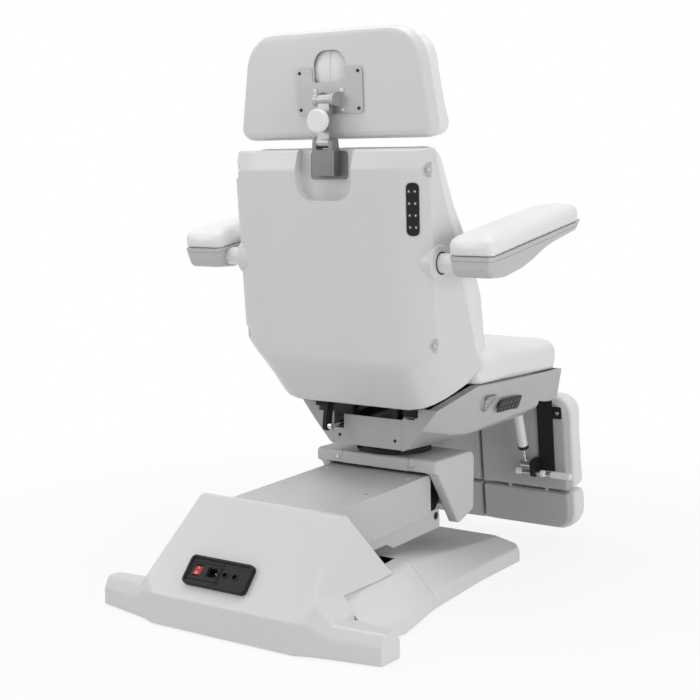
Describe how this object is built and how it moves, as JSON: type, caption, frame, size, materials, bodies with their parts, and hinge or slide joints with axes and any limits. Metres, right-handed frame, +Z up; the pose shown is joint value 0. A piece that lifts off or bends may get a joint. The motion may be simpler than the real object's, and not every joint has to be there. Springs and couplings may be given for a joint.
{
  "type": "pedicure chair",
  "caption": "Upholstered pedicure treatment chair on a motorised parallelogram lift, with a reclining back, headrest, swing-up armrests and split leg rests with sliding foot pads.",
  "frame": {"origin": "on the floor under the swivel axis, at the underside of the floor plate", "axes": "+Z up, the sitter faces -Y, the sitter's right hand is at -X"},
  "size_m": [0.95, 1.3522, 1.4359],
  "materials": {
    "base_frame": "black paint",
    "base_cover_front": "satin moulded plastic",
    "base_cover_rear": "satin moulded plastic",
    "rear_cover": "glossy white moulded plastic",
    "inlet_panel": "black moulded plastic",
    "power_inlet": "black moulded plastic",
    "lift_arm": "black paint",
    "arm_cover": "grey powder coat",
    "lower_link": "grey powder coat",
    "lift_actuator_body": "black paint",
    "lift_actuator_rod": "bright steel",
    "head_frame": "black paint",
    "head_cheek_left": "satin moulded plastic",
    "head_cheek_right": "satin moulded plastic",
    "head_top_cover": "satin moulded plastic",
    "swivel_plate": "black moulded plastic",
    "tilt_actuator_body": "black paint",
    "tilt_actuator_rod": "bright steel",
    "seat_frame": "black paint",
    "seat_shell": "glossy white moulded plastic",
    "rear_panel": "glossy white moulded plastic",
    "seat_cushion": "smooth synthetic leather",
    "seat_keypad": "black moulded plastic",
    "handset_hook": "bright steel",
    "back_actuator_body": "black paint",
    "back_actuator_rod": "bright steel",
    "back_frame": "black paint",
    "back_shell": "glossy white moulded plastic",
    "back_cushion": "smooth synthetic leather",
    "back_keypad": "black moulded plastic",
    "headrest_bracket": "grey powder coat",
    "armrest_axle": "glossy white moulded plastic",
    "headrest_link": "grey powder coat",
    "headrest_knob": "glossy white moulded plastic",
    "headrest_plate": "grey powder coat",
    "headrest_shell": "glossy white moulded plastic",
    "headrest_cushion": "smooth synthetic leather",
    "power_rocker": "translucent red plastic",
    "armrest_shell_right": "glossy white moulded plastic",
    "armrest_pad_right": "smooth synthetic leather",
    "leg_rail_right": "black paint",
    "leg_shell_right": "glossy white moulded plastic",
    "leg_cushion_right": "smooth synthetic leather",
    "foot_shell_right": "glossy white moulded plastic",
    "foot_cushion_right": "smooth synthetic leather",
    "strut_rod_right": "bright steel",
    "strut_tube_right": "glossy white moulded plastic",
    "leg_release_right": "glossy white moulded plastic",
    "armrest_shell_left": "glossy white moulded plastic",
    "armrest_pad_left": "smooth synthetic leather",
    "leg_rail_left": "black paint",
    "leg_shell_left": "glossy white moulded plastic",
    "leg_cushion_left": "smooth synthetic leather",
    "foot_shell_left": "glossy white moulded plastic",
    "foot_cushion_left": "smooth synthetic leather",
    "strut_rod_left": "bright steel",
    "strut_tube_left": "glossy white moulded plastic",
    "leg_release_left": "glossy white moulded plastic"
  },
  "bodies": {
    "base": {"base_frame": "base_frame", "base_cover_front": "base_cover_front", "base_cover_rear": "base_cover_rear", "rear_cover": "rear_cover", "inlet_panel": "inlet_panel", "power_inlet": "power_inlet"},
    "arm": {"lift_arm": "lift_arm", "arm_cover": "arm_cover"},
    "lower_link": {"lower_link": "lower_link"},
    "lift_actuator_body": {"lift_actuator_body": "lift_actuator_body"},
    "lift_actuator_rod": {"lift_actuator_rod": "lift_actuator_rod"},
    "head": {"head_frame": "head_frame", "head_cheek_left": "head_cheek_left", "head_cheek_right": "head_cheek_right", "head_top_cover": "head_top_cover"},
    "swivel": {"swivel_plate": "swivel_plate"},
    "tilt_actuator_body": {"tilt_actuator_body": "tilt_actuator_body"},
    "tilt_actuator_rod": {"tilt_actuator_rod": "tilt_actuator_rod"},
    "seat": {"seat_frame": "seat_frame", "seat_shell": "seat_shell", "rear_panel": "rear_panel", "seat_cushion": "seat_cushion", "seat_keypad": "seat_keypad", "handset_hook": "handset_hook"},
    "back_actuator_body": {"back_actuator_body": "back_actuator_body"},
    "back_actuator_rod": {"back_actuator_rod": "back_actuator_rod"},
    "back": {"back_frame": "back_frame", "back_shell": "back_shell", "back_cushion": "back_cushion", "back_keypad": "back_keypad", "headrest_bracket": "headrest_bracket", "armrest_axle": "armrest_axle"},
    "headrest_link": {"headrest_link": "headrest_link"},
    "headrest_knob": {"headrest_knob": "headrest_knob"},
    "headrest": {"headrest_plate": "headrest_plate", "headrest_shell": "headrest_shell", "headrest_cushion": "headrest_cushion"},
    "power_rocker": {"power_rocker": "power_rocker"},
    "armrest_right": {"armrest_shell_right": "armrest_shell_right", "armrest_pad_right": "armrest_pad_right"},
    "leg_right": {"leg_rail_right": "leg_rail_right", "leg_shell_right": "leg_shell_right", "leg_cushion_right": "leg_cushion_right"},
    "foot_right": {"foot_shell_right": "foot_shell_right", "foot_cushion_right": "foot_cushion_right"},
    "strut_rod_right": {"strut_rod_right": "strut_rod_right"},
    "strut_tube_right": {"strut_tube_right": "strut_tube_right"},
    "leg_release_right": {"leg_release_right": "leg_release_right"},
    "armrest_left": {"armrest_shell_left": "armrest_shell_left", "armrest_pad_left": "armrest_pad_left"},
    "leg_left": {"leg_rail_left": "leg_rail_left", "leg_shell_left": "leg_shell_left", "leg_cushion_left": "leg_cushion_left"},
    "foot_left": {"foot_shell_left": "foot_shell_left", "foot_cushion_left": "foot_cushion_left"},
    "strut_rod_left": {"strut_rod_left": "strut_rod_left"},
    "strut_tube_left": {"strut_tube_left": "strut_tube_left"},
    "leg_release_left": {"leg_release_left": "leg_release_left"}
  },
  "joints": [
    {"name": "lift", "type": "hinge", "parent": "base", "child": "arm", "pos_m": [0, 0.49959, 0.24532], "axis": [-1, 0, 0], "range_deg": [0, 32]},
    {"name": "lower_link_swing", "type": "hinge", "parent": "base", "child": "lower_link", "pos_m": [0, 0.49959, 0.15532], "axis": [-1, 0, 0], "range_deg": [0, 32.5]},
    {"name": "head_level", "type": "hinge", "parent": "arm", "child": "head", "pos_m": [0, 0.03, 0.265], "axis": [-1, 0, 0], "range_deg": [-32.5, 0]},
    {"name": "lift_actuator_swing", "type": "hinge", "parent": "base", "child": "lift_actuator_body", "pos_m": [0, 0.43959, 0.1], "axis": [-1, 0, 0], "range_deg": [0, 30.03]},
    {"name": "lift_actuator_stroke", "type": "slide", "parent": "lift_actuator_body", "child": "lift_actuator_rod", "axis": [0, -0.9316, 0.3634], "range_m": [0, 0.0878]},
    {"name": "swivel", "type": "hinge", "parent": "head", "child": "swivel", "pos_m": [0, 0, 0.3514], "axis": [0, 0, 1], "range_deg": [-90, 90]},
    {"name": "seat_tilt", "type": "hinge", "parent": "swivel", "child": "seat", "pos_m": [0, 0.085, 0.3854], "axis": [-1, 0, 0], "range_deg": [0, 12]},
    {"name": "tilt_actuator_swing", "type": "hinge", "parent": "swivel", "child": "tilt_actuator_body", "pos_m": [-0.03, -0.06, 0.3724], "axis": [-1, 0, 0], "range_deg": [0, 18.33]},
    {"name": "tilt_actuator_stroke", "type": "slide", "parent": "tilt_actuator_body", "child": "tilt_actuator_rod", "axis": [0, -0.9572, 0.2895], "range_m": [0, 0.0156]},
    {"name": "recline", "type": "hinge", "parent": "seat", "child": "back", "pos_m": [0, 0.165, 0.4954], "axis": [-1, 0, 0], "range_deg": [0, 60]},
    {"name": "back_actuator_swing", "type": "hinge", "parent": "seat", "child": "back_actuator_body", "pos_m": [0.087, -0.3, 0.445], "axis": [-1, 0, 0], "range_deg": [-2.48, 0]},
    {"name": "back_actuator_stroke", "type": "slide", "parent": "back_actuator_body", "child": "back_actuator_rod", "axis": [0, 0.9981, -0.0619], "range_m": [-0.0795, 0]},
    {"name": "headrest_swing", "type": "hinge", "parent": "back", "child": "headrest_link", "pos_m": [0, 0.323, 1.1534], "axis": [-1, 0, 0], "range_deg": [-5, 25]},
    {"name": "headrest_tilt", "type": "hinge", "parent": "headrest_link", "child": "headrest", "pos_m": [0, 0.323, 1.2584], "axis": [-1, 0, 0], "range_deg": [-5, 20]},
    {"name": "headrest_clamp", "type": "hinge", "parent": "headrest_link", "child": "headrest_knob", "pos_m": [0, 0.323, 1.2059], "axis": [0, 1, 0], "range_deg": [0, 270]},
    {"name": "armrest_right", "type": "hinge", "parent": "back", "child": "armrest_right", "pos_m": [-0.41, 0.262, 0.8624], "axis": [-1, 0, 0], "range_deg": [0, 100]},
    {"name": "leg_right", "type": "hinge", "parent": "seat", "child": "leg_right", "pos_m": [-0.225, -0.44, 0.4554], "axis": [-1, 0, 0], "range_deg": [0, 80]},
    {"name": "foot_slide_right", "type": "slide", "parent": "leg_right", "child": "foot_right", "axis": [0, -0.1392, -0.9903], "range_m": [0, 0.1]},
    {"name": "strut_swing_right", "type": "hinge", "parent": "leg_right", "child": "strut_rod_right", "pos_m": [-0.172, -0.43952, 0.24327], "axis": [-1, 0, 0], "range_deg": [-15.35, 0]},
    {"name": "strut_stroke_right", "type": "slide", "parent": "strut_rod_right", "child": "strut_tube_right", "axis": [0, 0.3345, 0.9424], "range_m": [0, 0.0735]},
    {"name": "leg_release_right", "type": "slide", "parent": "leg_right", "child": "leg_release_right", "axis": [-1, 0, 0], "range_m": [0, 0.012], "stiffness_N_per_m": 600},
    {"name": "armrest_left", "type": "hinge", "parent": "back", "child": "armrest_left", "pos_m": [0.41, 0.262, 0.8624], "axis": [-1, 0, 0], "range_deg": [0, 100]},
    {"name": "leg_left", "type": "hinge", "parent": "seat", "child": "leg_left", "pos_m": [0.225, -0.44, 0.4554], "axis": [-1, 0, 0], "range_deg": [0, 80]},
    {"name": "foot_slide_left", "type": "slide", "parent": "leg_left", "child": "foot_left", "axis": [0, -0.1392, -0.9903], "range_m": [0, 0.1]},
    {"name": "strut_swing_left", "type": "hinge", "parent": "leg_left", "child": "strut_rod_left", "pos_m": [0.172, -0.43952, 0.24327], "axis": [-1, 0, 0], "range_deg": [-15.35, 0]},
    {"name": "strut_stroke_left", "type": "slide", "parent": "strut_rod_left", "child": "strut_tube_left", "axis": [0, 0.3345, 0.9424], "range_m": [0, 0.0735]},
    {"name": "leg_release_left", "type": "slide", "parent": "leg_left", "child": "leg_release_left", "axis": [1, 0, 0], "range_m": [0, 0.012], "stiffness_N_per_m": 600},
    {"name": "power_rocker", "type": "hinge", "parent": "base", "child": "power_rocker", "pos_m": [0.106, 0.69085, 0.1325], "axis": [-1, 0, 0], "range_deg": [0, 14]}
  ],
  "couplings": [
    {"joint": "lower_link_swing", "follows": "lift", "ratio": 1},
    {"joint": "head_level", "follows": "lift", "ratio": -1},
    {"joint": "lift_actuator_swing", "follows": "lift", "ratio": 0.92013},
    {"joint": "lift_actuator_stroke", "follows": "lift", "m_per_rad": 0.15391},
    {"joint": "tilt_actuator_swing", "follows": "seat_tilt", "ratio": 1.4975},
    {"joint": "tilt_actuator_stroke", "follows": "seat_tilt", "m_per_rad": 0.07263},
    {"joint": "back_actuator_swing", "follows": "recline", "ratio": -0.04052},
    {"joint": "back_actuator_stroke", "follows": "recline", "m_per_rad": -0.07435},
    {"joint": "strut_swing_right", "follows": "leg_right", "ratio": -0.18814},
    {"joint": "strut_stroke_right", "follows": "leg_right", "m_per_rad": 0.05153},
    {"joint": "strut_swing_left", "follows": "leg_left", "ratio": -0.18814},
    {"joint": "strut_stroke_left", "follows": "leg_left", "m_per_rad": 0.05153}
  ]
}
